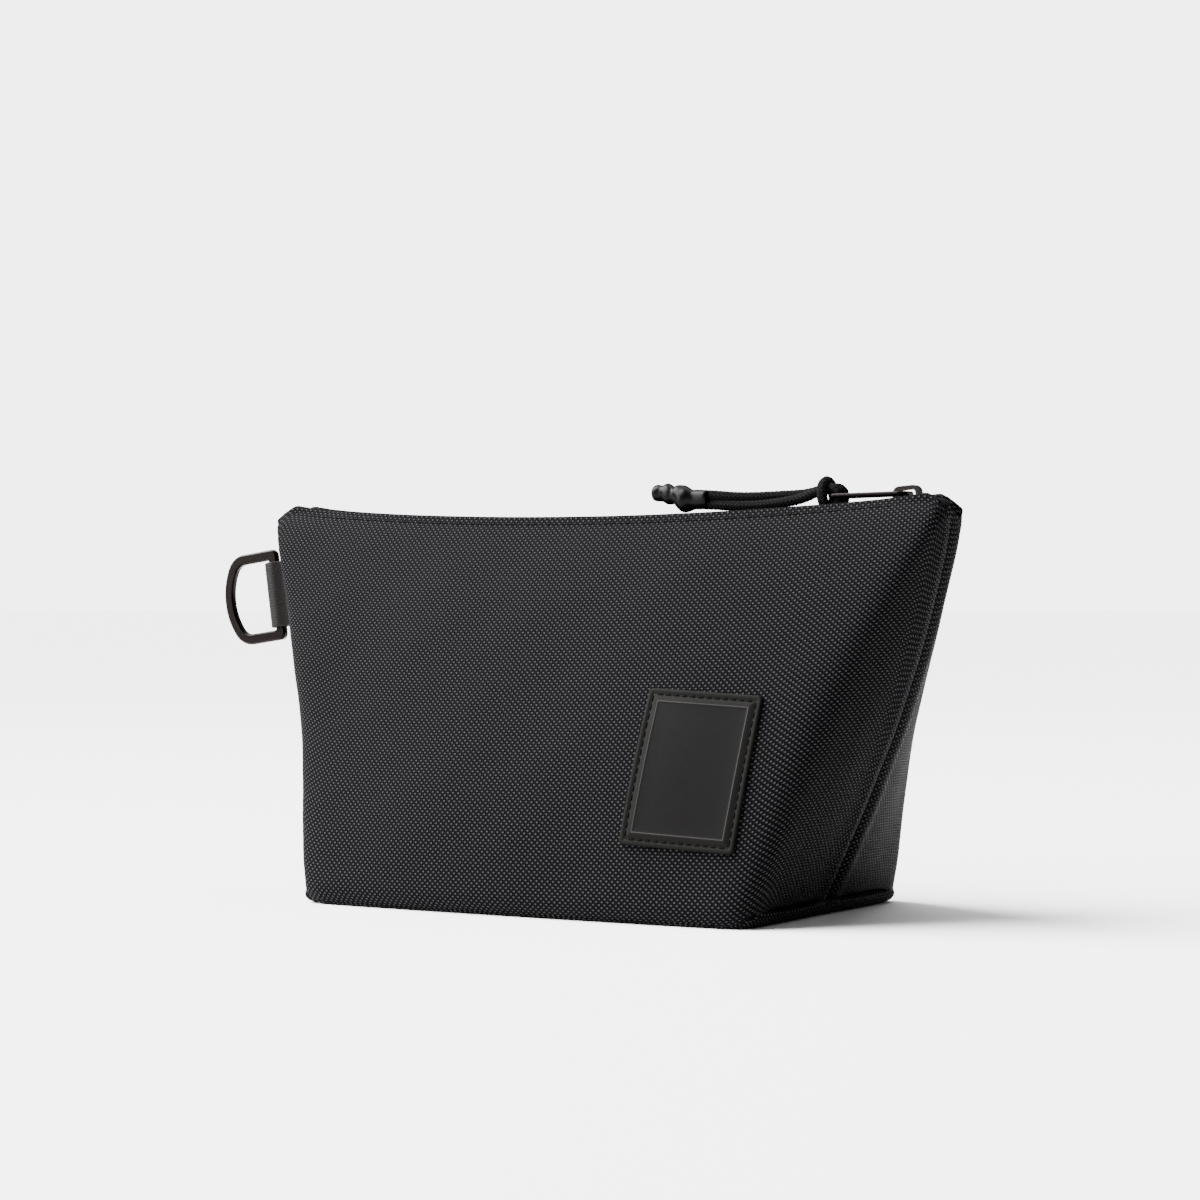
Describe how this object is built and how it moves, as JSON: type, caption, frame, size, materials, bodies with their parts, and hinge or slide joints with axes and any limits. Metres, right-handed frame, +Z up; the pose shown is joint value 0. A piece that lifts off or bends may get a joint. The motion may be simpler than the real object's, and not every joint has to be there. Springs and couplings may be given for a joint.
{
  "type": "hanging toiletry bag",
  "caption": "Wedge-shaped nylon toiletry bag, flat boxed base, zipped mouth with corded puller, side D-ring on a webbing tab and a sewn label patch.",
  "frame": {"origin": "middle of the base's rest face", "axes": "+X along the zipper towards the closed slider, +Y towards the back, +Z up"},
  "size_m": [0.3081, 0.124, 0.1487],
  "materials": {
    "shell_fabric": "coated black ballistic nylon, two-by-one weave",
    "lining_fabric": "plain woven nylon lining",
    "zip_tape": "black woven zipper tape",
    "zip_coil": "black nylon coil",
    "black_metal": "black plated metal",
    "ring_metal": "black nickel",
    "webbing": "black coated webbing",
    "cord_sheath": "black braided cord",
    "cord_end": "black moulded rubber",
    "patch": "dark grey-brown moulded label",
    "thread": "black bonded thread"
  },
  "bodies": {
    "bag": {"back_panel": "shell_fabric", "base_panel": "shell_fabric", "back_lining": "lining_fabric", "base_lining": "lining_fabric", "back_topstitch": "thread", "zipper_tape_back": "zip_tape", "zipper_coil_back": "zip_coil", "zipper_end_left": "zip_tape", "zipper_end_right": "zip_tape", "d_ring_tab": "webbing", "tab_stitches": "thread"},
    "front": {"front_panel": "shell_fabric", "front_lining": "lining_fabric", "front_topstitch": "thread", "label_patch": "patch", "patch_stitches": "thread", "zipper_tape_front": "zip_tape", "zipper_coil_front": "zip_coil"},
    "slider": {"slider_body": "black_metal", "slider_crown": "black_metal"},
    "puller": {"puller_wire": "black_metal"},
    "cord": {"cord_hitch": "cord_sheath", "pull_cord": "cord_sheath", "cord_end": "cord_end"},
    "ring": {"d_ring": "ring_metal"}
  },
  "joints": [
    {"name": "slider_travel", "type": "hinge", "parent": "bag", "child": "slider", "pos_m": [0, 0, 1.67764], "axis": [0, 1, 0], "range_deg": [0, 9.08]},
    {"name": "mouth_opening", "type": "hinge", "parent": "bag", "child": "front", "pos_m": [0, -0.0625, 0.007], "axis": [1, 0, 0], "range_deg": [0, 20], "deforming": ["zipper_tape_front", "zipper_coil_front"]},
    {"name": "puller_flip", "type": "hinge", "parent": "slider", "child": "puller", "pos_m": [0.122, 0, 0.14474], "axis": [0, 1, 0], "range_deg": [0, 130]},
    {"name": "cord_swing", "type": "hinge", "parent": "puller", "child": "cord", "pos_m": [0.094, 0, 0.1443], "axis": [0, 1, 0], "range_deg": [0, 60]},
    {"name": "ring_swing", "type": "hinge", "parent": "bag", "child": "ring", "pos_m": [-0.1444, 0, 0.111], "axis": [-0.1392, 0, 0.9903], "range_deg": [-90, 90]}
  ],
  "couplings": [
    {"joint": "mouth_opening", "follows": "slider_travel", "ratio": 2.2026}
  ]
}
